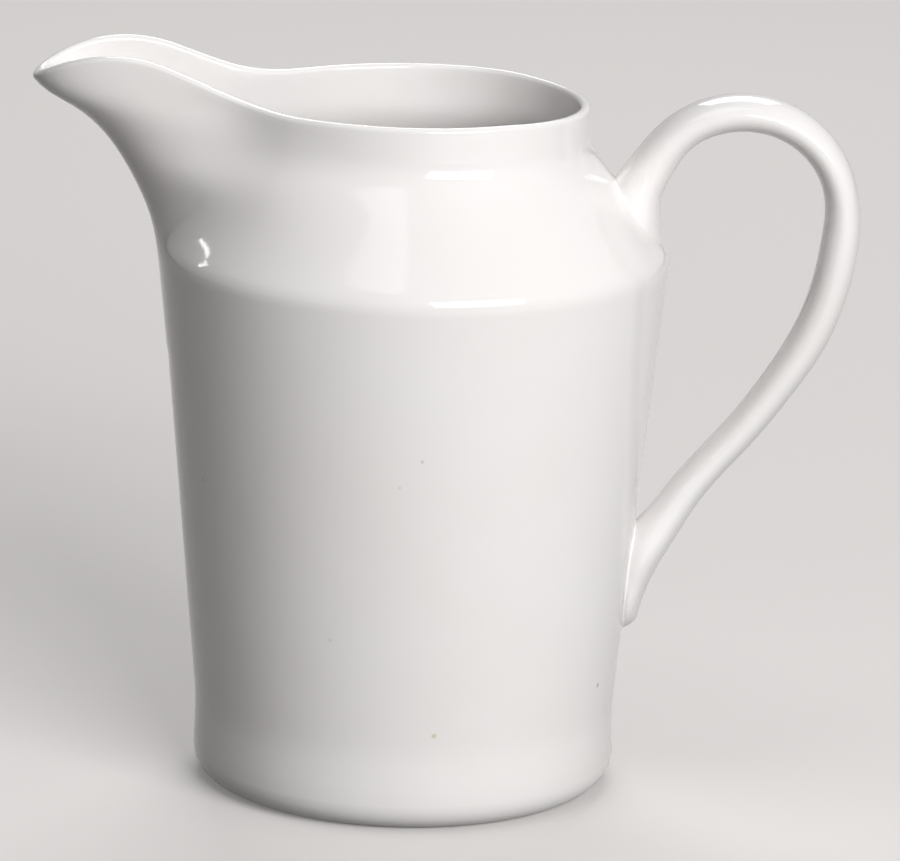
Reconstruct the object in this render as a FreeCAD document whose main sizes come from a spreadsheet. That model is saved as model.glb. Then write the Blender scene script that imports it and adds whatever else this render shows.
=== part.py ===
"""A glazed china creamer: a small tapered jug with a coned shoulder, a drawn spout and a loop handle.

It is one piece of fired clay, so it is one solid. The origin is the centre of the foot, on the
table; +Z is up, the spout points to -X and the handle to +X. Lengths are millimetres.
"""
import FreeCAD, Part
import math
import os

import Sketcher
from FreeCAD import Placement, Rotation, Vector

doc = FreeCAD.newDocument("creamer")

# ---- Driving dimensions -------------------------------------------------------------------------
sizes = doc.addObject("Spreadsheet::Sheet", "Sizes")
DIMENSIONS = [
    ("foot_contact_radius", 28.3, "outer edge of the ring that stands on the table"),
    ("foot_radius", 32.1, "bulge of the foot"),
    ("foot_bevel_height", 1.4, "height of the underside's bevel at the bulge"),
    ("foot_round", 4.2, "rounding of the bulge"),
    ("waist_radius", 31.86, "narrowest part, just above the foot"),
    ("waist_height", 12.1, ""),
    ("waist_round", 34.0, "hollow curve between foot and wall"),
    ("shoulder_radius", 38.16, "where wall and cone would meet"),
    ("shoulder_height", 80.6, ""),
    ("shoulder_round", 5.2, "rounding of the shoulder's edge"),
    ("neck_radius", 25.75, "outside of the upright neck"),
    ("neck_height", 97.4, "where cone and neck would meet"),
    ("neck_round", 7.5, "hollow curve between cone and neck"),
    ("rim_height", 105.4, "level part of the rim"),
    ("wall_thickness", 2.7, "turned wall"),
    ("rim_thickness", 1.9, "neck and spout"),
    ("floor_thickness", 4.0, ""),
    ("floor_round", 7.0, "inside corner of the floor"),
    ("foot_ring_width", 3.6, "flat of the foot ring"),
    ("foot_recess", 1.8, "hollow under the foot"),
    ("foot_recess_round", 1.5, "corner of that hollow"),
    ("join_height", 70.0, "where the turned wall ends and the pressed shoulder begins"),
    ("spout_half_width", 9.9, "half the width of the spout at the rim"),
    ("spout_root_half_width", 15.0, "half the width of the spout at the shoulder"),
    ("spout_fade_angle", 115.0, "turn from the spout's middle where its share of the wall begins"),
    ("spout_fade_span", 70.0, "turn over which that share grows to the whole"),
    ("spout_top_height", 112.5, "above every part of the rim, before it is cut"),
    ("cutting_room", 5.0, "how far cutting sketches reach past the clay"),
    ("handle_thickness", 5.5, "seen from the side"),
    ("handle_width", 9.6, "seen from behind"),
    ("handle_centre_x", 48.7, "centre of the upper loop"),
    ("handle_centre_height", 88.8, ""),
    ("handle_loop_radius", 15.2, "centre line of the upper loop"),
    ("handle_sweep_radius", 44.0, "centre line where it sweeps back to the wall"),
    ("handle_sweep_angle", 36.5, "slope of the straight stretch, from upright"),
    ("handle_straight", 22.0, "length of the straight stretch"),
    ("rim_droop", 1.4, "how far the rim's plane has sunk beyond the handle side"),
    ("rim_droop_start", 13.0, ""),
    ("rim_droop_round", 60.0, "soft bend where the rim starts to droop"),
    ("rim_level_round", 38.0, "hollow curve where the rim starts to rise to the spout"),
    ("rim_rise_start", 23.5, ""),
    ("rim_crest_x", 47.4, "where the rising and falling lines of the spout's rim meet"),
    ("rim_crest_height", 114.4, ""),
    ("rim_crest_round", 22.0, "curve over the crest of the spout"),
    ("rim_tip_x", 64.0, "end of the falling line, outside the spout"),
    ("rim_tip_height", 102.8, ""),
    ("rim_round", 0.85, "rounding of each edge of the rim"),
    ("seam_round", 0.8, "slip wiped round the handle where it was stuck on"),
]
for row, (name, value, note) in enumerate(DIMENSIONS, start=1):
    sizes.set(f"A{row}", name)
    sizes.set(f"B{row}", str(value))
    sizes.setAlias(f"B{row}", name)
    sizes.set(f"C{row}", note)
doc.recompute()


def size(name):
    """Value of one cell of the sheet."""
    return float(sizes.get(name))


# ---- Outline of the turned wall -----------------------------------------------------------------
def rounded_radius(height, corners, rounds):
    """Radius at one height of an outline given by (radius, height) corners with rounded joints."""
    for (before, corner, after), rounding in zip(zip(corners, corners[1:], corners[2:]), rounds):
        into = (before - corner).normalize()
        out = (after - corner).normalize()
        half_angle = into.getAngle(out) / 2
        reach = rounding / math.tan(half_angle)
        first, last = corner + into * reach, corner + out * reach
        if first.y <= height <= last.y:
            centre = corner + (into + out).normalize() * (rounding / math.sin(half_angle))
            side = math.copysign(1.0, corner.x - centre.x)
            return centre.x + side * math.sqrt(rounding**2 - (height - centre.y)**2)
    for low, high in zip(corners, corners[1:]):
        if low.y <= height <= high.y:
            return low.x + (high.x - low.x) * (height - low.y) / (high.y - low.y)
    return corners[-1].x


def offset_corners(corners, inset):
    """The same outline moved towards the axis by the wall's thickness."""
    moved = []
    for before, corner, after in zip(corners[:1] + corners, corners, corners[1:] + corners[-1:]):
        into = (corner - before) if before != corner else (after - corner)
        out = (after - corner) if after != corner else (corner - before)
        normals = [Vector(-edge.y, edge.x, 0).normalize() for edge in (into, out)]
        bisector = (normals[0] + normals[1]).normalize()
        moved.append(corner + bisector * (inset / bisector.dot(normals[0])))
    return moved


top = size("spout_top_height")
outer_corners = [
    Vector(size("waist_radius"), size("waist_height"), 0),
    Vector(size("shoulder_radius"), size("shoulder_height"), 0),
    Vector(size("neck_radius"), size("neck_height"), 0),
    Vector(size("neck_radius"), top, 0),
]
outer_rounds = [size("shoulder_round"), size("neck_round")]
inner_corners = offset_corners(outer_corners, size("wall_thickness"))
inner_corners[-1].y = top
neck_bore = size("neck_radius") - size("rim_thickness")
inner_corners[-2].x = neck_bore
inner_corners[-1].x = neck_bore
inner_rounds = [
    size("shoulder_round") - size("wall_thickness"),
    size("neck_round") + size("rim_thickness"),
]

# Reach of the spout's lower edge from the axis: (height, reach), a smooth curve from the wall to
# the tip, and upright above the tip, where the rim cuts it away.
SPOUT_EDGE = [
    (62.0, 36.6), (70.0, 37.35), (76.0, 38.0), (82.0, 38.75), (86.0, 39.7), (91.0, 41.8), (96.0, 44.7),
    (100.0, 48.0), (103.0, 52.0), (104.8, 55.2), (107.0, 57.6), (112.5, 58.9),
]


def smooth_curve(points):
    """Spline through (height, reach) points, upright in the sketch plane."""
    curve = Part.BSplineCurve()
    curve.interpolate([Vector(reach, height, 0) for height, reach in points])
    return curve


outer_edge = smooth_curve(SPOUT_EDGE)


def spout_reach(height, inset):
    """Reach at a height of the spout's edge, or of its inside, one wall's thickness further in."""
    steps = 400
    first, last = outer_edge.FirstParameter, outer_edge.LastParameter
    previous = None
    for step in range(steps + 1):
        at = first + (last - first) * step / steps
        tangent = outer_edge.tangent(at)[0]
        point = outer_edge.value(at) + Vector(-tangent.y, tangent.x, 0) * inset
        if previous is not None and previous.y <= height <= point.y:
            share = (height - previous.y) / (point.y - previous.y)
            return previous.x + (point.x - previous.x) * share
        previous = point
    return previous.x


# How tight the crease between neck and spout is, and how square the spout's nose is, low on the
# wall and at the lip.
WALL_SHARPNESS, LIP_SHARPNESS = 10.0, 3.0
WALL_BLUNTNESS, LIP_BLUNTNESS = 2.0, 7.0

# Every section is interpolated at the same even parameters, so that a loft through them is light.
SECTION_POINTS = 48
EVEN_PARAMETERS = [step / SECTION_POINTS for step in range(SECTION_POINTS + 1)]


def nose_radius(turn, nose, half_width, bluntness):
    """Distance from the axis to the superellipse (x/nose)^bluntness + (y/half_width)^2 = 1."""
    along, across = abs(math.cos(turn)) / nose, math.sin(turn) / half_width
    low, high = 0.0, max(nose, half_width) * 2
    for _ in range(60):
        middle = (low + high) / 2
        if (middle * along)**bluntness + (middle * across)**2 < 1:
            low = middle
        else:
            high = middle
    return low


def section_curve(height, inset, corners, rounds):
    """Closed curve round the neck and spout at one height.

    The radius in each direction is the power mean of the neck's circle and of the spout, which is
    a blunt superellipse seen from the axis. Low down the two are more alike and the crease between
    them is tighter; the spout's share fades out round the back.
    """
    circle = rounded_radius(height, corners, rounds)
    reach = max(spout_reach(height, inset), circle + 0.01)
    span = size("rim_height") - size("join_height")
    rise = min(1.0, max(0.0, (height - size("join_height")) / span))
    sharpness = LIP_SHARPNESS + (WALL_SHARPNESS - LIP_SHARPNESS) * (1 - rise)**1.5
    bluntness = WALL_BLUNTNESS + (LIP_BLUNTNESS - WALL_BLUNTNESS) * rise**2
    fade_start = math.radians(size("spout_fade_angle"))
    fade_span = math.radians(size("spout_fade_span"))
    root, lip = size("spout_root_half_width"), size("spout_half_width")
    half_width = lip + (root - lip) * (1 - rise) - inset
    nose = (reach**sharpness - circle**sharpness)**(1 / sharpness)
    points = []
    for step in range(SECTION_POINTS):
        angle = 2 * math.pi * step / SECTION_POINTS
        turn = abs(math.pi - angle)
        fade = min(1.0, max(0.0, (fade_start - turn) / fade_span))
        fade = fade * fade * (3 - 2 * fade)
        spout = fade * nose_radius(turn, nose, half_width, bluntness)
        radius = (circle**sharpness + spout**sharpness)**(1 / sharpness)
        points.append(Vector(radius * math.cos(angle), radius * math.sin(angle), 0))
    curve = Part.BSplineCurve()
    curve.interpolate(Points=points, PeriodicFlag=True, Parameters=EVEN_PARAMETERS)
    return curve


# ---- The vessel ---------------------------------------------------------------------------------
body = doc.addObject("PartDesign::Body", "creamer")
body.Label = "creamer"


def origin_plane(role):
    """One of the body's own origin planes."""
    for feature in body.Origin.OriginFeatures:
        if feature.Role == role:
            return feature
    raise ValueError(role)


def new_sketch(name, role):
    """Empty sketch on an origin plane of the body."""
    sketch = body.newObject("Sketcher::SketchObject", name)
    sketch.AttachmentSupport = [(origin_plane(role), "")]
    sketch.MapMode = "FlatFace"
    return sketch


def bind(sketch, kind, *refs_and_formula):
    """Dimension of a sketch, driven by a formula of the sheet."""
    *refs, formula = refs_and_formula
    value = float(sketch.evalExpression(formula))
    index = sketch.addConstraint(Sketcher.Constraint(kind, *refs, value))
    sketch.setExpression(f"Constraints[{index}]", formula)


def locate(sketch, geometry, formulas):
    """Dimension the start of a piece of geometry from the sketch's origin."""
    for kind, axis, formula in zip(("DistanceX", "DistanceY"), (-2, -1), formulas):
        if formula == "0":
            sketch.addConstraint(Sketcher.Constraint("PointOnObject", geometry, 1, axis))
        else:
            bind(sketch, kind, -1, 1, geometry, 1, formula)


def rounded_outline(sketch, corners):
    """Closed outline of lines, with an arc at each corner that has a rounding.

    A corner is (x formula, y formula) or (x formula, y formula, rounding formula). A rounded
    corner keeps a point where its lines would meet, and that point carries the dimensions.
    """
    spots = [Vector(*(float(sketch.evalExpression(f)) for f in corner[:2]), 0) for corner in corners]
    count = len(spots)
    ends = []
    for index, corner in enumerate(corners):
        spot = spots[index]
        if len(corner) == 2:
            ends.append((spot, spot, None))
            continue
        rounding = float(sketch.evalExpression(corner[2]))
        into = (spots[index - 1] - spot).normalize()
        out = (spots[(index + 1) % count] - spot).normalize()
        half_angle = into.getAngle(out) / 2
        reach = rounding / math.tan(half_angle)
        centre = spot + (into + out).normalize() * (rounding / math.sin(half_angle))
        ends.append((spot + into * reach, spot + out * reach, centre))
    for index in range(count):
        sketch.addGeometry(Part.LineSegment(ends[index][1], ends[(index + 1) % count][0]), False)
    for index, corner in enumerate(corners):
        before = (index - 1) % count
        first, last, centre = ends[index]
        if centre is None:
            sketch.addConstraint(Sketcher.Constraint("Coincident", before, 2, index, 1))
            locate(sketch, index, corner)
            continue
        turns_left = (first - centre).cross(last - centre).z > 0
        start, end = (first, last) if turns_left else (last, first)
        angles = [math.atan2(end_point.y - centre.y, end_point.x - centre.x)
                  for end_point in (start, end)]
        circle = Part.Circle(centre, Vector(0, 0, 1), (first - centre).Length)
        arc = sketch.addGeometry(Part.ArcOfCircle(circle, *angles), False)
        first_end, last_end = (1, 2) if turns_left else (2, 1)
        sketch.addConstraint(Sketcher.Constraint("Tangent", before, 2, arc, first_end))
        sketch.addConstraint(Sketcher.Constraint("Tangent", arc, last_end, index, 1))
        bind(sketch, "Radius", arc, corner[2])
        meeting = sketch.addGeometry(Part.Point(spots[index]), True)
        sketch.addConstraint(Sketcher.Constraint("PointOnObject", meeting, 1, before))
        sketch.addConstraint(Sketcher.Constraint("PointOnObject", meeting, 1, index))
        locate(sketch, meeting, corner[:2])


def section_sketch(name, height_formula, inset, corners, rounds):
    """Level sketch that holds one closed curve round the neck and spout."""
    sketch = new_sketch(name, "XY_Plane")
    sketch.setExpression("AttachmentOffset.Base.z", height_formula)
    height = float(sketch.evalExpression(height_formula))
    curve = sketch.addGeometry(section_curve(height, inset, corners, rounds), False)
    sketch.addConstraint(Sketcher.Constraint("Block", curve))
    return sketch


# Turned foot and wall, up to the level where the pressed shoulder begins.
join_radius = rounded_radius(size("join_height"), outer_corners, outer_rounds)
wall_slope = "(Sizes.shoulder_radius - Sizes.waist_radius) / (Sizes.shoulder_height - Sizes.waist_height)"
join_formula = f"Sizes.waist_radius + (Sizes.join_height - Sizes.waist_height) * {wall_slope}"
wall_sketch = new_sketch("wall_profile", "XZ_Plane")
rounded_outline(wall_sketch, [
    ("0", "0"),
    ("Sizes.foot_contact_radius", "0"),
    ("Sizes.foot_radius", "Sizes.foot_bevel_height", "Sizes.foot_round"),
    ("Sizes.waist_radius", "Sizes.waist_height", "Sizes.waist_round"),
    (join_formula, "Sizes.join_height"),
    ("0", "Sizes.join_height"),
])
wall = body.newObject("PartDesign::Revolution", "turned_wall")
wall.Profile = wall_sketch
wall.ReferenceAxis = (wall_sketch, ["V_Axis"])
wall.Angle = 360
doc.recompute()

# Shoulder, neck and spout: level sections from the wall to above the rim, closer together where
# the outline bends.
SECTION_LEVELS = [
    ("join_height", (0.5, 1.0, 1.5, 2.5, 4.0, 6.0, 7.5)),
    ("shoulder_height", (-2.0, -1.0, 0.0, 1.0, 2.0, 3.5, 5.5, 8.0, 10.5)),
    ("neck_height", (-4.5, -3.0, -1.5, 0.0, 1.5, 3.5)),
    ("rim_height", (-2.5, -0.5, 1.0, 3.0, 5.0)),
    ("spout_top_height", (0.0,)),
]
SECTION_HEIGHTS = [f"Sizes.{level} + {step}" for level, steps in SECTION_LEVELS for step in steps]


def turn_away(name, sketch):
    """Groove right round the upright axis, which has to take clay away."""
    clay = body.Shape.Volume
    groove = body.newObject("PartDesign::Groove", name)
    groove.Profile = sketch
    groove.ReferenceAxis = (sketch, ["V_Axis"])
    groove.Angle = 360
    doc.recompute()
    if body.Shape.Volume >= clay:
        raise RuntimeError(f"{name} cut nothing")
    return groove


def loft_through(feature, name, inset, corners, rounds, base_radius_formula):
    """Give a loft a round base section and the formed sections above it."""
    base = new_sketch(f"{name}_base", "XY_Plane")
    base.setExpression("AttachmentOffset.Base.z", "Sizes.join_height")
    radius = float(base.evalExpression(base_radius_formula))
    circle = base.addGeometry(Part.Circle(Vector(0, 0, 0), Vector(0, 0, 1), radius), False)
    base.addConstraint(Sketcher.Constraint("Coincident", circle, 3, -1, 1))
    bind(base, "Radius", circle, base_radius_formula)
    sections = [
        section_sketch(f"{name}_section_{number}", height, inset, corners, rounds)
        for number, height in enumerate(SECTION_HEIGHTS, start=1)
    ]
    loft = body.newObject(feature, name)
    loft.Profile = base
    loft.Sections = sections
    doc.recompute()
    return loft


shoulder = loft_through("PartDesign::AdditiveLoft", "shoulder_and_spout", 0.0,
                        outer_corners, outer_rounds, join_formula)

# Everything above the rim's line is cut away, straight across.
rim_sketch = new_sketch("rim_line", "XZ_Plane")
rounded_outline(rim_sketch, [
    ("Sizes.shoulder_radius", "Sizes.rim_height - Sizes.rim_droop"),
    ("Sizes.shoulder_radius", "Sizes.spout_top_height + Sizes.cutting_room"),
    ("-Sizes.rim_tip_x", "Sizes.spout_top_height + Sizes.cutting_room"),
    ("-Sizes.rim_tip_x", "Sizes.rim_tip_height"),
    ("-Sizes.rim_crest_x", "Sizes.rim_crest_height", "Sizes.rim_crest_round"),
    ("-Sizes.rim_rise_start", "Sizes.rim_height", "Sizes.rim_level_round"),
    ("Sizes.rim_droop_start", "Sizes.rim_height", "Sizes.rim_droop_round"),
])
clay_before_rim = body.Shape.Volume
rim_cut = body.newObject("PartDesign::Pocket", "rim_cut")
rim_cut.Profile = rim_sketch
rim_cut.Type = "ThroughAll"
rim_cut.SideType = "Symmetric"
doc.recompute()
if body.Shape.Volume >= clay_before_rim:
    raise RuntimeError("rim_cut cut nothing")


# ---- The handle ---------------------------------------------------------------------------------
# A rolled strip of clay, oval in section: stout where it leaves the shoulder, even round the loop,
# straight on the way back, and spread to a tongue where it is pressed onto the wall.
def level_station(x, height, lean, thickness, width):
    """Section of the handle where it grows out of the wall or lies on it."""
    return (str(x), str(height), lean, thickness, width)


def arc_station(centre_x, centre_height, radius, turn, thickness, width):
    """Section on an arc of the handle; turn 0 looks up from the left end of the arc."""
    x = f"{centre_x} - {radius} * cos({turn})"
    height = f"{centre_height} + {radius} * sin({turn})"
    return (x, height, turn, thickness, width)


sweep_centre_x = "(Sizes.handle_centre_x + Sizes.handle_loop_radius - Sizes.handle_sweep_radius)"
sweep_angle = size("handle_sweep_angle")
sweep_end_x = f"({sweep_centre_x} + Sizes.handle_sweep_radius * cos(Sizes.handle_sweep_angle))"
sweep_end_height = (
    "(Sizes.handle_centre_height - Sizes.handle_sweep_radius * sin(Sizes.handle_sweep_angle))")


def straight_station(share, thickness, width):
    """Section on the straight stretch, at a share of its length."""
    run = f"Sizes.handle_straight * {share}"
    x = f"{sweep_end_x} - {run} * sin(Sizes.handle_sweep_angle)"
    height = f"{sweep_end_height} - {run} * cos(Sizes.handle_sweep_angle)"
    return (x, height, 180 + sweep_angle, thickness, width)


# Each station is (x, height, lean of its plane about Y, thickness share, width share). A lean of 0
# looks up and one of 90 looks towards the handle side.
HANDLE_STATIONS = [
    level_station(31.5, 78.0, 2.0, 1.96, 2.1),
    level_station(32.0, 84.0, 2.0, 1.87, 1.9),
    level_station(32.3, 88.0, 4.0, 1.64, 1.65),
    level_station(32.9, 91.5, 10.0, 1.42, 1.35),
]
LOOP_SHARES = [(25, 1.22), (50, 1.05), (80, 1.02), (110, 0.98), (140, 0.93), (168, 0.94)]
for turn, share in LOOP_SHARES:
    HANDLE_STATIONS.append(arc_station(
        "Sizes.handle_centre_x", "Sizes.handle_centre_height", "Sizes.handle_loop_radius",
        turn, share, (1 + share) / 2))
SWEEP_SHARES = [(6, 1.04), (16, 1.04), (26, 1.03), (sweep_angle, 0.97)]
for turn, share in SWEEP_SHARES:
    HANDLE_STATIONS.append(arc_station(
        sweep_centre_x, "Sizes.handle_centre_height", "Sizes.handle_sweep_radius",
        180 + turn, share, 1.0))
HANDLE_STATIONS += [
    straight_station(0.45, 0.93, 0.985),
    level_station(42.5, 46.5, 219.0, 0.95, 1.02),
    level_station(38.2, 40.2, 213.0, 1.09, 1.2),
    level_station(35.6, 36.0, 206.0, 1.16, 1.35),
    level_station(34.1, 31.0, 196.0, 0.91, 1.2),
    level_station(33.4, 26.8, 191.0, 0.71, 0.94),
    level_station(32.6, 24.6, 196.0, 0.5, 0.6),
    level_station(31.2, 23.4, 215.0, 0.3, 0.3),
]


def oval_sketch(name, station):
    """Oval section of the handle on a leaning plane, its two axes driven by the sheet."""
    x, height, lean, thickness_share, width_share = station
    sketch = new_sketch(name, "XY_Plane")
    sketch.AttachmentOffset = Placement(Vector(0, 0, 0), Rotation(Vector(0, 1, 0), lean))
    sketch.setExpression("AttachmentOffset.Base.x", x)
    sketch.setExpression("AttachmentOffset.Base.z", height)
    thickness_formula = f"Sizes.handle_thickness * {thickness_share}"
    width_formula = f"Sizes.handle_width * {width_share}"
    half_thickness = float(sketch.evalExpression(thickness_formula)) / 2
    half_width = float(sketch.evalExpression(width_formula)) / 2
    outline = Part.Ellipse(Vector(0, half_width, 0), Vector(half_thickness, 0, 0), Vector(0, 0, 0))
    oval = sketch.addGeometry(outline, False)
    sketch.addConstraint(Sketcher.Constraint("Coincident", oval, 3, -1, 1))
    sketch.exposeInternalGeometry(oval)
    long_axis, short_axis = oval + 1, oval + 2
    sketch.addConstraint(Sketcher.Constraint("Vertical", long_axis))
    bind(sketch, "Distance", long_axis, width_formula)
    bind(sketch, "Distance", short_axis, thickness_formula)
    return sketch


handle_sections = [
    oval_sketch(f"handle_section_{number}", station)
    for number, station in enumerate(HANDLE_STATIONS, start=1)
]
handle = body.newObject("PartDesign::AdditiveLoft", "handle")
handle.Profile = handle_sections[0]
handle.Sections = handle_sections[1:]
doc.recompute()

# ---- The inside ---------------------------------------------------------------------------------
bore_sketch = new_sketch("inside_profile", "XZ_Plane")
inset_at_join = "Sizes.wall_thickness / cos(atan(" + wall_slope + "))"
inside_join_formula = f"{join_formula} - {inset_at_join}"
inside_foot_formula = f"Sizes.waist_radius - {inset_at_join}"
rounded_outline(bore_sketch, [
    ("0", "Sizes.floor_thickness"),
    (inside_foot_formula, "Sizes.floor_thickness", "Sizes.floor_round"),
    (inside_foot_formula, "Sizes.waist_height", "Sizes.waist_round"),
    (inside_join_formula, "Sizes.join_height"),
    ("0", "Sizes.join_height"),
])
turn_away("turned_inside", bore_sketch)

clay_before_mouth = body.Shape.Volume
mouth = loft_through("PartDesign::SubtractiveLoft", "neck_and_spout_inside", size("rim_thickness"),
                     inner_corners, inner_rounds, inside_join_formula)
if body.Shape.Volume >= clay_before_mouth:
    raise RuntimeError("neck_and_spout_inside cut nothing")

# Hollow under the foot, which leaves the flat ring that the jug stands on.
recess_sketch = new_sketch("foot_recess", "XZ_Plane")
rounded_outline(recess_sketch, [
    ("0", "-Sizes.cutting_room"),
    ("Sizes.foot_contact_radius - Sizes.foot_ring_width", "-Sizes.cutting_room"),
    ("Sizes.foot_contact_radius - Sizes.foot_ring_width", "Sizes.foot_recess",
     "Sizes.foot_recess_round"),
    ("0", "Sizes.foot_recess"),
])
turn_away("foot_hollow", recess_sketch)


# ---- Soft edges ---------------------------------------------------------------------------------
def soften(name, radius_formula, is_meant):
    """Round the body's edges that a test on their bounding box picks out."""
    names = [f"Edge{number}" for number, edge in enumerate(body.Shape.Edges, start=1)
             if is_meant(edge.BoundBox) and edge.Curve.TypeId == "Part::GeomBSplineCurve"]
    base = body.Tip
    fillet = body.newObject("PartDesign::Fillet", name)
    fillet.Base = (base, names)
    fillet.setExpression("Radius", radius_formula)
    doc.recompute()
    return fillet


def on_rim(box):
    """An edge that runs along the rim, inside or outside."""
    lowest = size("rim_height") - size("rim_droop") + 0.3
    return box.ZMin > lowest and box.YLength > 1


def on_upper_seam(box):
    """An edge where the handle grows out of the shoulder."""
    across = box.XMin > 25 and box.XMax < 40
    return across and box.ZMin > size("shoulder_height") - 1 and box.ZMax < 97 and box.YLength > 0.5


def on_lower_seam(box):
    """An edge where the handle's tongue lies on the wall."""
    across = box.XMin > 31 and box.XMax < 40
    return across and box.ZMin > 22 and box.ZMax < 44 and box.YLength > 0.5


soften("rim_edges", "Sizes.rim_round", on_rim)
soften("lower_seam", "Sizes.seam_round", on_lower_seam)
soften("upper_seam", "Sizes.seam_round", on_upper_seam)

# ---- Check and write ----------------------------------------------------------------------------
doc.recompute()
for item in doc.Objects:
    if "Invalid" in item.State or "Error" in item.State:
        raise RuntimeError(f"{item.Name} failed: {item.State}")
if body.Shape.isNull() or not body.Shape.isValid() or len(body.Shape.Solids) != 1:
    raise RuntimeError("the creamer is not one valid solid")

os.makedirs("parts", exist_ok=True)
body.Shape.exportStep("parts/creamer.step")
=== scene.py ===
import math

import bmesh
import bpy
import numpy as np
from mathutils import Matrix, Vector


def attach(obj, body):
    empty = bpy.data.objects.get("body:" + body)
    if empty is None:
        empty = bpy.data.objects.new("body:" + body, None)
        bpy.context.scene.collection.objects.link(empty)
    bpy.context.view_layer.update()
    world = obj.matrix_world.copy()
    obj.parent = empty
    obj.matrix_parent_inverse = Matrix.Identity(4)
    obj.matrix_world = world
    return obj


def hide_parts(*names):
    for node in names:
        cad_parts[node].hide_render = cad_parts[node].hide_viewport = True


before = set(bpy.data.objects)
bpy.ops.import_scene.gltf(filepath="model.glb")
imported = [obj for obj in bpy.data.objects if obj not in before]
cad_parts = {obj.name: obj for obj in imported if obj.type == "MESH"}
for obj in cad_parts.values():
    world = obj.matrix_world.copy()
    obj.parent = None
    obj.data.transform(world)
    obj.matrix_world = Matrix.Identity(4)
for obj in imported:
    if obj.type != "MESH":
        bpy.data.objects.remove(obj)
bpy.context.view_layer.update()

# ---- The turned wall and foot ---------------------------------------------------------------
# The jug is cast china. Below the shoulder it is round: a flat ring to stand on with a shallow
# hollow inside it, a bulging foot, a narrow waist and a wall that widens evenly.
wall_mm = 2.7            # thickness of the wall; all the jug's lengths are in mm
floor_mm = 4.0           # thickness of the floor
wall_top = 66.0          # level where the round wall gives way to the formed shoulder
row_spacing = 2.2        # height of the mesh's faces up the wall

# Corners of the outlines, each a distance from the axis and a height, and the radii to which the
# corners between the two ends are rounded.
WALL_CORNERS = np.array([(31.86, 12.1), (38.30, 82.1), (25.75, 98.4), (25.75, 125.0)])
WALL_ROUNDS = [4.4, 6.0]
FOOT_CORNERS = np.array([(0.0, 1.8), (24.7, 1.8), (24.7, 0.0), (28.3, 0.0), (32.1, 1.4),
                         (31.86, 12.1), (36.816, wall_top)])
FOOT_ROUNDS = [1.5, 0.5, 0.5, 4.2, 34.0]


def corner_arc(before, corner, after, rounding):
    """Where a rounded corner starts and ends, and the centre of its arc."""
    into = (before - corner) / np.linalg.norm(before - corner)
    out = (after - corner) / np.linalg.norm(after - corner)
    half_angle = math.acos(np.clip(into @ out, -1, 1)) / 2
    reach = rounding / math.tan(half_angle)
    middle = (into + out) / np.linalg.norm(into + out)
    centre = corner + middle * rounding / math.sin(half_angle)
    return corner + into * reach, corner + out * reach, centre


def rounded_path(corners, rounds, spacing):
    """Points along an outline of straight stretches whose corners are rounded off."""
    path = [corners[0]]

    def straight_to(end):
        start = path[-1]
        steps = max(1, int(np.linalg.norm(end - start) / spacing))
        path.extend(start + (end - start) * step / steps for step in range(1, steps + 1))

    for before, corner, after, rounding in zip(corners, corners[1:], corners[2:], rounds):
        first, last, centre = corner_arc(before, corner, after, rounding)
        straight_to(first)
        angles = [math.atan2(*(end - centre)[::-1]) for end in (first, last)]
        sweep = (angles[1] - angles[0] + math.pi) % (2 * math.pi) - math.pi
        steps = max(4, int(abs(sweep) * rounding / min(spacing, rounding / 3)))
        for step in range(1, steps + 1):
            angle = angles[0] + sweep * step / steps
            path.append(centre + rounding * np.array([math.cos(angle), math.sin(angle)]))
    straight_to(corners[-1])
    return np.array(path)


foot_path = rounded_path(FOOT_CORNERS, FOOT_ROUNDS, row_spacing)[1:]

# ---- The shoulder, neck and spout -----------------------------------------------------------
# From the shoulder's soft edge a cone runs in to an upright neck. On one side the wet clay is
# drawn out into a spout: a rounded trough that springs from the shoulder and runs up to a tip.
lip_mm = 1.6             # thickness of neck and spout
spout_half_mm = 9.9      # half the width of the spout at the rim, and lower down at its root
spout_root_half_mm = 15.0
spout_root = 70.0        # level where the spout starts to leave the wall
spout_full = 105.4       # level where it has its full form
SPOUT_EDGE = np.array([  # reach of the spout's lower edge from the axis, and its height
    (36.6, 62.0), (37.35, 70.0), (38.0, 76.0), (38.75, 82.0), (39.7, 86.0), (41.8, 91.0),
    (44.7, 96.0), (48.0, 100.0), (52.0, 103.0), (55.2, 104.8), (57.6, 107.0), (58.9, 112.5)])
full_sharpness = 3.0     # how crisply the spout leaves the neck: higher is crisper
root_sharpness = 7.0     # what is added to that at the root, and how fast it fades upwards
root_fade = 2.3
smoothed_level = 94.0    # level where the two were smoothed together most, how far above and
smoothed_reach = 7.0     # below it that tells, and by how much
smoothing = 0.9
end_squareness = 5.0     # how much squarer than an oval the trough's end gets, close to the rim
squaring = 5
fade_start, fade_width = math.radians(115), math.radians(70)   # turn over which the spout ends
halvings = 44            # steps of a search by halving, enough for an exact answer
hair = 0.01              # the spout stands at least this much proud of the wall


def rounded_value(at, corners, rounds):
    """Distance from the axis, or height, at each place along an outline with rounded corners."""
    at = np.asarray(at, float)
    value = np.interp(at, corners[:, 1], corners[:, 0])
    for before, corner, after, rounding in zip(corners, corners[1:], corners[2:], rounds):
        first, last, centre = corner_arc(before, corner, after, rounding)
        side = math.copysign(1.0, corner[0] - centre[0])
        arc = centre[0] + side * np.sqrt(np.maximum(rounding**2 - (at - centre[1])**2, 0))
        value = np.where((at >= first[1]) & (at <= last[1]), arc, value)
    return value


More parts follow.
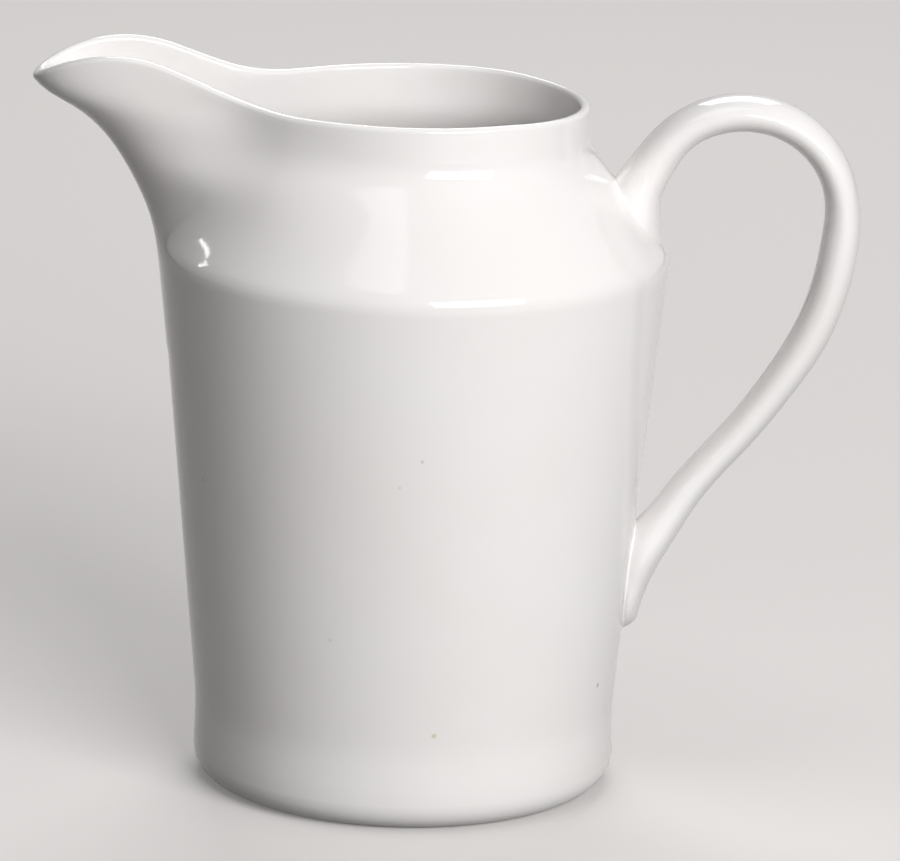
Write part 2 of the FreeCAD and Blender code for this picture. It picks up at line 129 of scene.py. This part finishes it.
def moved_in(corners, inset):
    """The same outline moved towards the axis by the wall's thickness."""
    edges = np.diff(corners, axis=0)
    normals = np.stack([-edges[:, 1], edges[:, 0]], 1)
    normals /= np.linalg.norm(edges, axis=1)[:, None]
    before, after = np.vstack([normals[:1], normals]), np.vstack([normals, normals[-1:]])
    bisector = (before + after) / np.linalg.norm(before + after, axis=1)[:, None]
    return corners + bisector * (inset / np.sum(bisector * before, 1))[:, None]


def smooth_line(points, samples):
    """Smooth line through points, evenly sampled: a natural cubic spline by chord length."""
    points = np.asarray(points, float)
    step = np.linalg.norm(np.diff(points[:, :2], axis=0), axis=1)
    chord = np.r_[0, np.cumsum(step)]
    system = np.eye(len(points))
    bend = np.zeros_like(points)
    for i in range(1, len(points) - 1):
        system[i, i - 1:i + 2] = step[i - 1], 2 * (step[i - 1] + step[i]), step[i]
        bend[i] = 6 * ((points[i + 1] - points[i]) / step[i]
                       - (points[i] - points[i - 1]) / step[i - 1])
    bend = np.linalg.solve(system, bend)
    at = np.linspace(0, chord[-1], samples)
    i = np.clip(np.searchsorted(chord, at) - 1, 0, len(step) - 1)
    left, right = (chord[i + 1] - at)[:, None], (at - chord[i])[:, None]
    width = step[i][:, None]
    return ((bend[i] * left**3 + bend[i + 1] * right**3) / (6 * width)
            + (points[i] / width - bend[i] * width / 6) * left
            + (points[i + 1] / width - bend[i + 1] * width / 6) * right)


NECK_CORNERS = moved_in(WALL_CORNERS, wall_mm)      # the inside of shoulder and neck
NECK_CORNERS[2:, 0] = WALL_CORNERS[-1, 0] - lip_mm
NECK_CORNERS[-1, 1] = WALL_CORNERS[-1, 1]
NECK_ROUNDS = [WALL_ROUNDS[0] - wall_mm, WALL_ROUNDS[1] + lip_mm]
outer_edge = smooth_line(SPOUT_EDGE, 1500)
edge_run = np.gradient(outer_edge, axis=0)
edge_inward = np.stack([-edge_run[:, 1], edge_run[:, 0]], 1)
edge_inward /= np.linalg.norm(edge_run, axis=1)[:, None]
inner_edge = outer_edge + edge_inward * lip_mm


def formed_radius(turn, height, inside=False):
    """Distance of the shoulder, neck and spout from the axis; turn is the angle from the spout."""
    turn, height = np.broadcast_arrays(np.abs(turn), np.asarray(height, float))
    corners, rounds = (NECK_CORNERS, NECK_ROUNDS) if inside else (WALL_CORNERS, WALL_ROUNDS)
    edge = inner_edge if inside else outer_edge
    circle = rounded_value(height, corners, rounds)
    reach = np.maximum(np.interp(height, edge[:, 1], edge[:, 0]), circle + hair)
    rise = np.clip((height - spout_root) / (spout_full - spout_root), 0, 1)
    sharpness = (full_sharpness + root_sharpness * (1 - rise)**root_fade
                 - smoothing * np.exp(-((height - smoothed_level) / smoothed_reach)**2))
    bluntness = 2.0 + end_squareness * rise**squaring
    half_width = spout_half_mm + (spout_root_half_mm - spout_half_mm) * (1 - rise)
    half_width = half_width - lip_mm * inside
    nose = (reach**sharpness - circle**sharpness)**(1 / sharpness)
    along, across = np.abs(np.cos(turn)) / nose, np.sin(turn) / half_width
    low, high = np.zeros_like(nose), np.maximum(nose, half_width) * 2
    for _ in range(halvings):
        middle = (low + high) / 2
        within = (middle * along)**bluntness + (middle * across)**2 < 1
        low, high = np.where(within, middle, low), np.where(within, high, middle)
    share = np.clip((fade_start - turn) / fade_width, 0, 1)
    spout = low * share * share * (3 - 2 * share)
    return (circle**sharpness + spout**sharpness)**(1 / sharpness)


# ---- The rim --------------------------------------------------------------------------------
# The rim is cut straight across: level over the neck, sinking a little towards the handle, and
# rising over the spout to a crest before it dips to the tip. Both its edges are sponged round.
rim_round = 0.75
RIM_CORNERS = np.array([  # height of the rim's line, and its place from spout to handle
    (102.8, -64.0), (114.4, -47.4), (105.4, -23.5), (105.4, 13.0), (104.0, 38.16)])
RIM_ROUNDS = [22.0, 38.0, 60.0]
columns = 360            # upright seams of the mesh
even_share = 0.25        # how far the seams are spaced evenly by turn and not along the rim
lean_level = 86.0        # level from which the rows lean to meet the rim's line
rim_lowest, rim_highest = 84.0, 120.0    # levels between which the rim is looked for


def rim_point(turn, drop, inside=False):
    """Point of the wall at a turn, a certain drop below the rim's line."""
    low, high = np.full_like(turn, rim_lowest), np.full_like(turn, rim_highest)
    for _ in range(halvings):
        middle = (low + high) / 2
        across = -formed_radius(turn, middle, inside) * np.cos(turn)
        above = middle + drop > rounded_value(across, RIM_CORNERS, RIM_ROUNDS)
        low, high = np.where(above, low, middle), np.where(above, middle, high)
    radius = formed_radius(turn, low, inside)
    return np.stack([-radius * np.cos(turn), radius * np.sin(turn), low], 1)


# Seams lie closer together round the spout's tip. Each seam of the inside is straight across the
# lip from its partner outside.
fine_steps = 7200
fine_turn = np.linspace(-math.pi, math.pi, fine_steps + 1)[:-1]
fine_rim = rim_point(fine_turn, 0.0)
run = np.linalg.norm(np.roll(fine_rim, -1, 0) - fine_rim, axis=1)
run = run * (1 - even_share) + np.mean(run) * even_share
distance = np.r_[0, np.cumsum(run)]
turns = np.interp(np.arange(columns) / columns * distance[-1], distance,
                  np.r_[fine_turn, math.pi])
lip_outer = rim_point(turns, 0.0)
along_rim = (np.roll(lip_outer, -1, 0) - np.roll(lip_outer, 1, 0))[:, :2]
across_lip = np.stack([along_rim[:, 1], -along_rim[:, 0]], 1)
across_lip /= np.linalg.norm(along_rim, axis=1)[:, None]
across_lip *= np.sign(-np.sum(across_lip * lip_outer[:, :2], 1))[:, None]
lip_inner = lip_outer[:, :2] + across_lip * lip_mm
inner_turns = np.unwrap(np.arctan2(lip_inner[:, 1], -lip_inner[:, 0]))
inner_turns -= 2 * math.pi * np.round(np.mean(inner_turns - turns) / (2 * math.pi))


def turned_rows(turn, path):
    """Level rings through the points of a turned outline."""
    return [np.stack([-radius * np.cos(turn), radius * np.sin(turn), np.full_like(turn, height)], 1)
            for radius, height in path]


def wall_rows(turn, heights, inside=False):
    """Rows up the shoulder and neck; the upper ones lean so that the last follows the rim."""
    edge = rim_point(turn, rim_round, inside)[:, 2]
    rows = []
    for height in heights:
        share = np.clip((height - lean_level) / (heights[-1] - lean_level), 0, 1)
        level = height + (edge - heights[-1]) * share
        radius = formed_radius(turn, level, inside)
        rows.append(np.stack([-radius * np.cos(turn), radius * np.sin(turn), level], 1))
    return rows


def lip_rows():
    """Rings over the rim, from its outer edge to its inner one."""
    rows, top = [], 6
    for step in range(2 * top + 1):
        angle = math.pi / 2 * step / top
        drop = rim_round * (1 - abs(math.sin(angle)))
        side = rim_round * (1 - abs(math.cos(angle))) / lip_mm
        share = side if step <= top else 1 - side
        outer, inner = rim_point(turns, drop), rim_point(inner_turns, drop, True)
        ring = outer + (inner - outer) * share
        ring[:, 2] = rounded_value(ring[:, 0], RIM_CORNERS, RIM_ROUNDS) - drop
        rows.append(ring)
    return rows


MM = 0.001               # one mm in metres


def ring_mesh(name, rings):
    """Closed mesh of quads through rings of points in mm, with a flat cap at either end."""
    build = bmesh.new()
    rows = [[build.verts.new(point * MM) for point in ring] for ring in rings]
    for lower, upper in zip(rows, rows[1:]):
        for i in range(len(lower)):
            j = (i + 1) % len(lower)
            build.faces.new((lower[i], lower[j], upper[j], upper[i]))
    build.faces.new(rows[0][::-1])
    build.faces.new(rows[-1])
    bmesh.ops.recalc_face_normals(build, faces=build.faces)
    mesh = bpy.data.meshes.new(name)
    build.to_mesh(mesh)
    build.free()
    piece = bpy.data.objects.new(name, mesh)
    bpy.context.scene.collection.objects.link(piece)
    return piece


# Outside from the foot up, over the rim, and down the inside to the floor. The rows are closest
# together round the shoulder's edge.
shoulder_heights = np.r_[np.arange(67.5, 77, 1.5), np.arange(77, 84.4, 0.6),
                         np.arange(85.1, 104.5, 0.85)]
inner_spacing = 2.6
inner_radius = NECK_CORNERS[0, 0]
cavity_top = float(rounded_value(wall_top, NECK_CORNERS, NECK_ROUNDS))
CAVITY_CORNERS = np.array([(0.0, floor_mm), (inner_radius, floor_mm), (inner_radius, 12.1),
                           (cavity_top, wall_top)])
CAVITY_ROUNDS = [7.0, 34.0]
cavity_path = rounded_path(CAVITY_CORNERS, CAVITY_ROUNDS, inner_spacing)[1:]
rings = turned_rows(turns, foot_path)
rings += wall_rows(turns, shoulder_heights)
rings += lip_rows()
rings += wall_rows(inner_turns, shoulder_heights, True)[::-1]
rings += turned_rows(inner_turns, cavity_path[::-1])
jug = ring_mesh("creamer_china", rings)

# ---- The handle -----------------------------------------------------------------------------
# A rolled strip of clay, oval in section and stuck on with slip: stout where it grows out of the
# shoulder, even round the loop, straight on the way back, and pressed onto the wall as a tongue.
thick, wide = 5.5, 9.6
loop_x, loop_height, loop_radius = 48.7, 88.8, 15.2
sweep_radius, sweep_angle, straight = 44.0, 36.5, 22.0

# Sections at root and tongue: distance from the axis, height and lean in degrees, then thickness
# and width as shares of the handle's own. On the loop and the sweep: lean and thickness.
ROOT_SECTIONS = [(31.5, 78.0, 2, 1.96, 1.3), (32.0, 84.0, 2, 1.87, 1.55),
                 (32.3, 88.0, 4, 1.64, 1.65), (32.9, 91.5, 10, 1.42, 1.35)]
LOOP_SECTIONS = [(25, 1.22), (50, 1.05), (80, 1.02), (110, 0.98), (140, 0.93), (168, 0.94)]
SWEEP_SECTIONS = [(186, 1.04), (196, 1.04), (206, 1.03), (180 + sweep_angle, 0.97)]
TONGUE_SECTIONS = [(42.5, 46.5, 219, 0.95, 1.02), (38.2, 40.2, 213, 1.09, 1.2),
                   (35.6, 36.0, 206, 1.16, 1.35), (34.1, 31.0, 196, 0.91, 1.2),
                   (33.4, 27.4, 191, 0.8, 1.0), (33.0, 25.6, 194, 0.72, 0.75),
                   (31.6, 24.3, 208, 0.5, 0.45)]


def arc_section(centre_x, radius, angle, thickness, width):
    """Section on an arc of the handle, standing square to it."""
    lean = math.radians(angle)
    return (centre_x - radius * math.cos(lean), loop_height + radius * math.sin(lean), angle,
            thickness, width)


sections = list(ROOT_SECTIONS)
for angle, share in LOOP_SECTIONS:
    sections.append(arc_section(loop_x, loop_radius, angle, share, (1 + share) / 2))
sweep_x = loop_x + loop_radius - sweep_radius
for angle, share in SWEEP_SECTIONS:
    sections.append(arc_section(sweep_x, sweep_radius, angle, share, 1.0))
end_x, end_height = sections[-1][:2]
run_down = straight * 0.45       # one more section, not quite half way down the straight
sections.append((end_x - run_down * math.sin(math.radians(sweep_angle)),
                 end_height - run_down * math.cos(math.radians(sweep_angle)),
                 180 + sweep_angle, 0.93, 0.985))
sections += TONGUE_SECTIONS

around = 72              # faces round the handle
line_samples, free_rows = 900, 150       # points that trace it, and rows of faces along it
tucked_in, tuck_depth = 0.35, 0.10       # how far the slip's edge runs on under the glaze
CLOSING_RINGS = ((0.8, 0.8), (0.5, 1.0), (0.2, 1.0))    # share of the joint, depth in the wall
handle_line = smooth_line(np.array(sections) * (1, 1, 1, thick, wide), line_samples)
roll = np.arange(around) / around * 2 * math.pi     # from the section's side next to the gap
lean = np.radians(handle_line[:, 2])[:, None]
half_thick, half_wide = handle_line[:, 3:4] / 2, handle_line[:, 4:5] / 2
surface = np.stack([
    handle_line[:, 0:1] + np.cos(lean) * half_thick * np.cos(roll),
    half_wide * np.sin(roll) + 0 * lean,
    handle_line[:, 1:2] - np.sin(lean) * half_thick * np.cos(roll)], 2)

# The outside of the round wall alone, from the outer edge of the ring it stands on.
ring_edge = FOOT_CORNERS[3, 0] - 0.5
outside_path = foot_path[np.argmax(foot_path[:, 0] > ring_edge):]


def above_wall(point):
    """How far a point stands off the outside of the wall, measured level."""
    turn = np.arctan2(point[..., 1], -point[..., 0])
    height = point[..., 2]
    wall = np.interp(height, outside_path[:, 1], outside_path[:, 0])
    formed = formed_radius(turn, np.maximum(height, wall_top))
    return np.hypot(point[..., 0], point[..., 1]) - np.where(height > wall_top, formed, wall)


def wall_normal(point):
    """Direction straight out of the wall at a point on it."""
    steps = np.eye(3) * 0.05
    slope = np.stack([above_wall(point + step) - above_wall(point - step) for step in steps], -1)
    return slope / np.linalg.norm(slope, axis=-1, keepdims=True)


def onto_wall(point, normal, depth):
    """The point carried straight onto the wall, or to a depth inside it."""
    for _ in range(3):
        point = point - normal * (above_wall(point) + depth)[:, None]
    return point


def joint_rings(lines, slip, fillet):
    """Rings that carry the end of the handle onto the wall, and close it inside the wall.

    Lines run along the handle towards the joint. Each stops where it is as high above the wall
    as the slip stands, bends onto the wall through a fillet of slip as wide as given, and ends
    just under the glaze.
    """
    height = above_wall(lines)
    last_out = np.array([np.max(np.nonzero(height[:, i] > slip[i])[0]) for i in range(around)])
    touching = np.array([last_out[i] + np.argmax(height[last_out[i]:, i] < 0)
                         for i in range(around)])
    column = np.arange(around)

    def falls_to(level, index):
        """Point of each line where its height above the wall falls to a level."""
        here, after = height[index - 1, column], height[index, column]
        share = np.clip((here - level) / (here - after), 0, 1)[:, None]
        return lines[index - 1, column] * (1 - share) + lines[index, column] * share

    start = falls_to(slip, last_out + 1)
    crossing = falls_to(0.0, touching)
    normal = wall_normal(crossing)
    seam = np.roll(crossing, -1, 0) - np.roll(crossing, 1, 0)
    outward = np.cross(seam, normal)
    outward /= np.linalg.norm(outward, axis=1)[:, None]
    outward *= np.sign(np.sum(outward * (crossing - crossing.mean(0)), 1).mean())

    toe = onto_wall(crossing + outward * fillet[:, None], normal, -0.01)
    rings = []
    for share in np.arange(1, 8) / 8:
        rings.append(start * (1 - share)**2 + crossing * 2 * share * (1 - share)
                     + toe * share**2)
    rings.append(toe)
    edge = onto_wall(crossing + outward * (fillet[:, None] + tucked_in), normal, tuck_depth)
    rings.append(edge)
    middle = crossing.mean(0)
    for share, depth in CLOSING_RINGS:
        ring = middle + (edge - middle) * share
        rings.append(onto_wall(ring, wall_normal(ring), depth))
    return last_out, start, rings


# The slip at the shoulder is widest on the handle's two flanks; along the tongue it is even.
half = len(surface) // 2
flank = np.sin(roll)**2
top_out, top_start, top_rings = joint_rings(
    surface[:half][::-1], 0.35 + 0.8 * flank, 0.45 + 2.2 * flank)
tail_out, tail_start, tail_rings = joint_rings(
    surface[half:], np.full(around, 0.3), np.full(around, 0.6))
first_free, last_free = half - 1 - top_out, half + tail_out
along = first_free + (last_free - first_free) * np.linspace(0, 1, free_rows)[:, None]
before = np.minimum(np.floor(along).astype(int), len(surface) - 2)
part = (along - before)[:, :, None]
column = np.arange(around)[None, :]
free_rings = surface[before, column] * (1 - part) + surface[before + 1, column] * part
handle = ring_mesh("handle_clay", top_rings[::-1] + [top_start] + list(free_rings[1:-1])
                   + [tail_start] + tail_rings)

stuck_on = jug.modifiers.new("stuck_on", "BOOLEAN")
stuck_on.operation = "UNION"
stuck_on.solver = "EXACT"
stuck_on.object = handle
whole = bpy.data.meshes.new_from_object(jug.evaluated_get(bpy.context.evaluated_depsgraph_get()))
jug.modifiers.clear()
jug.data = whole
bpy.data.objects.remove(handle)
for face in whole.polygons:
    face.use_smooth = True

# ---- The glaze ------------------------------------------------------------------------------
# One coat of clear gloss glaze over white china, which pools and dimples a little in the firing
# and lets a few iron specks through. Only the ring the jug stands on is wiped clean of it, which
# leaves that matt and creamier.
CHINA_WHITE = (0.86, 0.840, 0.834, 1)
CHINA_CREAM = (0.84, 0.816, 0.803, 1)
BARE_CLAY = (0.66, 0.61, 0.54, 1)
RUST, OCHRE, GREY = (0.42, 0.20, 0.15, 1), (0.58, 0.46, 0.28, 1), (0.28, 0.25, 0.23, 1)
SPECKS = [  # place and radius in mm, colour, and how strongly it shows
    ((29.2, -14.2, 18.6), 0.45, RUST, 0.75), ((4.8, -31.8, 15.4), 0.5, OCHRE, 0.6),
    ((2.1, -36.0, 58.3), 0.4, GREY, 0.3), ((-1.1, -35.7, 54.2), 0.35, GREY, 0.2),
    ((-30.5, -17.9, 49.9), 0.35, GREY, 0.3), ((-10.8, -31.7, 29.7), 0.35, GREY, 0.2),
    ((-45.2, -9.0, 110.1), 0.4, GREY, 0.7), ((-54.9, -3.0, 107.2), 0.4, GREY, 0.6)]
glaze = bpy.data.materials.new("glazed_china")
glaze.use_nodes = True
nodes, link = glaze.node_tree.nodes, glaze.node_tree.links.new
shader = nodes["Principled BSDF"]
shader.inputs["IOR"].default_value = 1.5
place = nodes.new("ShaderNodeTexCoord").outputs["Object"]


def cloud(scale, detail):
    """Soft random pattern; scale is the number of patches to a metre."""
    noise = nodes.new("ShaderNodeTexNoise")
    noise.inputs["Scale"].default_value = scale
    noise.inputs["Detail"].default_value = detail
    link(place, noise.inputs["Vector"])
    return noise.outputs[0]


def ranged(value, low, high, to_low, to_high):
    """Value carried from one range to another and held at its ends."""
    range_node = nodes.new("ShaderNodeMapRange")
    for name, number in (("From Min", low), ("From Max", high),
                         ("To Min", to_low), ("To Max", to_high)):
        range_node.inputs[name].default_value = number
    link(value, range_node.inputs["Value"])
    return range_node.outputs[0]


def blended(share, first, second):
    """Colour between two others, each either plain or coming from a node."""
    mix = nodes.new("ShaderNodeMix")
    mix.data_type = "RGBA"
    link(share, mix.inputs["Factor"])
    for name, colour in (("A", first), ("B", second)):
        if isinstance(colour, tuple):
            mix.inputs[name].default_value = colour
        else:
            link(colour, mix.inputs[name])
    return mix.outputs["Result"]


def with_speck(colour, centre, radius, tone, strength):
    """The colour with a soft round speck at a place on the jug."""
    away = nodes.new("ShaderNodeVectorMath")
    away.operation = "DISTANCE"
    away.inputs[1].default_value = [length * MM for length in centre]
    link(place, away.inputs[0])
    share = ranged(away.outputs["Value"], radius * 0.35 * MM, radius * MM, strength, 0.0)
    return blended(share, colour, tone)


def dimpled(height, strength, depth, under=None):
    """Bump whose hills are so many mm high, over another bump if one is given."""
    bump = nodes.new("ShaderNodeBump")
    bump.inputs["Strength"].default_value = strength
    bump.inputs["Distance"].default_value = depth * MM
    link(height, bump.inputs["Height"])
    if under is not None:
        link(under, bump.inputs["Normal"])
    return bump.outputs["Normal"]


mottling = ranged(cloud(38.0, 3.0), 0.35, 0.65, 0.0, 1.0)
colour = blended(mottling, CHINA_WHITE, CHINA_CREAM)
for centre, radius, tone, strength in SPECKS:
    colour = with_speck(colour, centre, radius, tone, strength)
level = nodes.new("ShaderNodeSeparateXYZ")
link(place, level.inputs[0])
bare = ranged(level.outputs["Z"], 0.25 * MM, 0.6 * MM, 1.0, 0.0)
link(blended(bare, colour, BARE_CLAY), shader.inputs["Base Color"])

glaze_roughness = ranged(cloud(55.0, 4.0), 0.3, 0.7, 0.06, 0.11)
roughness = nodes.new("ShaderNodeMix")
link(bare, roughness.inputs["Factor"])
link(glaze_roughness, roughness.inputs["A"])
roughness.inputs["B"].default_value = 0.75
link(roughness.outputs["Result"], shader.inputs["Roughness"])

pooling = dimpled(cloud(60.0, 1.0), strength=0.35, depth=0.25)
link(dimpled(cloud(700.0, 2.0), strength=0.12, depth=0.05, under=pooling),
     shader.inputs["Normal"])

whole.materials.clear()
whole.materials.append(glaze)
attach(jug, "root")
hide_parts("creamer")

# ---- The table ------------------------------------------------------------------------------
# The jug stands on a plain pale table, in front of a plain pale room. Both are darker to the
# light they throw back onto the china than they look to the eye.
TABLE_WHITE = (0.62, 0.60, 0.59, 1)
TABLE_SHADE = (0.13, 0.127, 0.125, 1)
TABLE_GLOW = (0.17, 0.166, 0.164, 1)
UNLIT = (0, 0, 0, 1)
ROOM_WHITE = (0.62, 0.61, 0.605, 1)
ROOM_SHADE = (0.022, 0.020, 0.021, 1)
table_radius = 3.0       # metres
table_mesh = bpy.data.meshes.new("table_top")
table_build = bmesh.new()
bmesh.ops.create_circle(table_build, cap_ends=True, segments=128, radius=table_radius)
table_build.to_mesh(table_mesh)
table_build.free()
table_top = bpy.data.objects.new("table_top", table_mesh)
bpy.context.scene.collection.objects.link(table_top)


def pale_to_the_eye(tree, seen, thrown, socket):
    """Colour that is pale where it is seen or mirrored, and darker where it only lights things."""
    rays = tree.nodes.new("ShaderNodeLightPath")

    def either(first, second):
        larger = tree.nodes.new("ShaderNodeMath")
        larger.operation = "MAXIMUM"
        tree.links.new(first, larger.inputs[0])
        tree.links.new(second, larger.inputs[1])
        return larger.outputs[0]

    looked_at = either(either(rays.outputs["Is Camera Ray"], rays.outputs["Is Glossy Ray"]),
                       rays.outputs["Is Transmission Ray"])
    mix = tree.nodes.new("ShaderNodeMix")
    mix.data_type = "RGBA"
    mix.inputs["A"].default_value = thrown
    mix.inputs["B"].default_value = seen
    tree.links.new(looked_at, mix.inputs["Factor"])
    tree.links.new(mix.outputs["Result"], socket)


table_paint = bpy.data.materials.new("pale_table")
table_paint.use_nodes = True
table_shader = table_paint.node_tree.nodes["Principled BSDF"]
table_shader.inputs["Roughness"].default_value = 0.8
table_shader.inputs["Specular IOR Level"].default_value = 0.2
table_shader.inputs["Emission Strength"].default_value = 1.0
pale_to_the_eye(table_paint.node_tree, TABLE_WHITE, TABLE_SHADE, table_shader.inputs["Base Color"])
pale_to_the_eye(table_paint.node_tree, TABLE_GLOW, UNLIT, table_shader.inputs["Emission Color"])
table_mesh.materials.append(table_paint)

room = bpy.data.worlds.new("studio")
room.use_nodes = True
room_shader = room.node_tree.nodes["Background"]
room_shader.inputs["Strength"].default_value = 1.0
pale_to_the_eye(room.node_tree, ROOM_WHITE, ROOM_SHADE, room_shader.inputs["Color"])
bpy.context.scene.world = room

# ---- The lamps ------------------------------------------------------------------------------
# Soft boxes: a broad one in front, to the right and a little above, a weak one overhead, a strip
# at the left that catches the spout's root, and one behind.
jug_middle = Vector((0, 0, 0.06))        # metres, as are all sizes from here on


def soft_lamp(name, bearing, height, distance, width, tall, power):
    """Soft box aimed at the jug; bearing is the turn to the right of straight in front."""
    light = bpy.data.lights.new(name, "AREA")
    light.shape = "RECTANGLE"
    light.size, light.size_y = width, tall
    light.energy = power
    lamp = bpy.data.objects.new(name, light)
    bpy.context.scene.collection.objects.link(lamp)
    turn, rise = math.radians(bearing), math.radians(height)
    towards = Vector((math.sin(turn) * math.cos(rise), -math.cos(turn) * math.cos(rise),
                      math.sin(rise)))
    lamp.location = jug_middle + towards * distance
    lamp.rotation_mode = "QUATERNION"
    lamp.rotation_quaternion = towards.to_track_quat("Z", "Y")


soft_lamp("key", bearing=30, height=24, distance=1.1, width=0.75, tall=0.36, power=12.7)
soft_lamp("top", bearing=-40, height=74, distance=1.0, width=0.6, tall=0.6, power=1.8)
soft_lamp("edge", bearing=-112, height=22, distance=0.9, width=0.03, tall=0.12, power=0.12)
soft_lamp("back", bearing=176, height=44, distance=1.1, width=0.6, tall=0.5, power=5)

# ---- The eye --------------------------------------------------------------------------------
# A long lens looks along the jug's side, from a little above the rim. It is level to within a
# degree and a half.
eye_distance = 0.907634
eye_rise = math.radians(14.363)
eye_roll = math.radians(1.488)
aim = Vector((0.005997, 0, 0.05389))
across = Vector((1, 0, 0))
ahead = Vector((0, math.cos(eye_rise), -math.sin(eye_rise)))
level_up = Vector((0, math.sin(eye_rise), math.cos(eye_rise)))
right = across * math.cos(eye_roll) + level_up * math.sin(eye_roll)
upward = level_up * math.cos(eye_roll) - across * math.sin(eye_roll)
lens = bpy.data.cameras.new("eye")
lens.lens = 240.16
lens.sensor_width = 36
lens.clip_start, lens.clip_end = 0.01, 20
eye = bpy.data.objects.new("eye", lens)
bpy.context.scene.collection.objects.link(eye)
eye.matrix_world = Matrix((
    (right.x, upward.x, -ahead.x, 0), (right.y, upward.y, -ahead.y, 0),
    (right.z, upward.z, -ahead.z, 0), (0, 0, 0, 1)))
eye.location = aim - ahead * eye_distance
bpy.context.scene.camera = eye
bpy.context.scene.view_settings.view_transform = "Standard"
